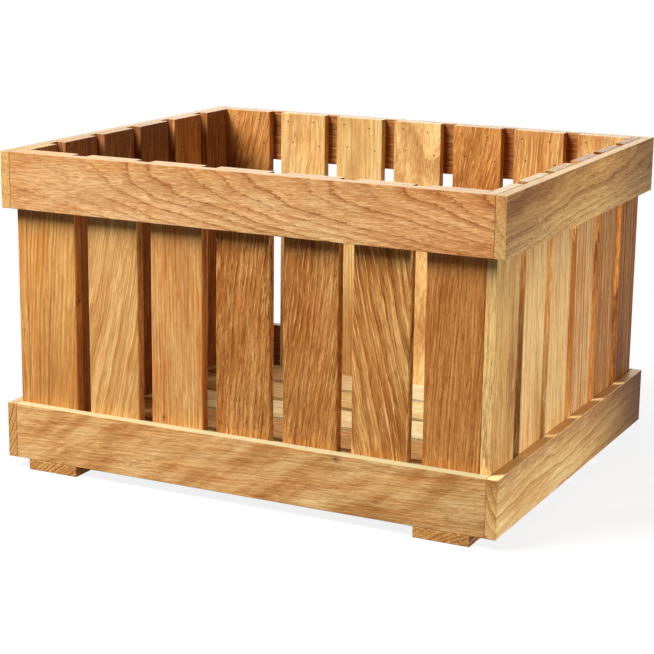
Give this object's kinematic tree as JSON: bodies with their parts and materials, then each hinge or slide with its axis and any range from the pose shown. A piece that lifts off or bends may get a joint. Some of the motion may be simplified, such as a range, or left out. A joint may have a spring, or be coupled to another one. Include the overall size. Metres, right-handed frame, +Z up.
{
  "type": "kindling box",
  "caption": "Open-topped oak box for kindling and firewood: upright slats inside two rings of rails, a slatted floor on two runners.",
  "frame": {"origin": "on the ground under the middle of the box, level with the undersides of the two runners", "axes": "+X along the long front wall, to the right as seen from the front; +Y from the front wall to the back wall; +Z up through the open top"},
  "size_m": [0.5, 0.412, 0.3051],
  "materials": {
    "oak_rails": "oiled oak, planed and sanded, edges eased",
    "oak_slats": "oiled oak, planed and sanded, mixed from honey to brown",
    "oak_floor": "oiled oak, planed and sanded",
    "oak_runners": "oiled oak, planed, end grain showing at the front",
    "brads": "small dark steel brad heads driven just below the wood"
  },
  "bodies": {
    "root": {"bottom_front_rail": "oak_rails", "top_front_rail": "oak_rails", "front_slat_1": "oak_slats", "front_slat_2": "oak_slats", "front_slat_3": "oak_slats", "front_slat_4": "oak_slats", "front_slat_5": "oak_slats", "front_slat_6": "oak_slats", "front_slat_7": "oak_slats", "bottom_back_rail": "oak_rails", "top_back_rail": "oak_rails", "back_slat_1": "oak_slats", "back_slat_2": "oak_slats", "back_slat_3": "oak_slats", "back_slat_4": "oak_slats", "back_slat_5": "oak_slats", "back_slat_6": "oak_slats", "back_slat_7": "oak_slats", "bottom_left_rail": "oak_rails", "top_left_rail": "oak_rails", "left_slat_1": "oak_slats", "left_slat_2": "oak_slats", "left_slat_3": "oak_slats", "left_slat_4": "oak_slats", "left_slat_5": "oak_slats", "left_slat_6": "oak_slats", "bottom_right_rail": "oak_rails", "top_right_rail": "oak_rails", "right_slat_1": "oak_slats", "right_slat_2": "oak_slats", "right_slat_3": "oak_slats", "right_slat_4": "oak_slats", "right_slat_5": "oak_slats", "right_slat_6": "oak_slats", "floor_board_1": "oak_floor", "floor_board_2": "oak_floor", "floor_board_3": "oak_floor", "floor_board_4": "oak_floor", "floor_board_5": "oak_floor", "floor_board_6": "oak_floor", "left_runner": "oak_runners", "right_runner": "oak_runners"}
  },
  "joints": []
}
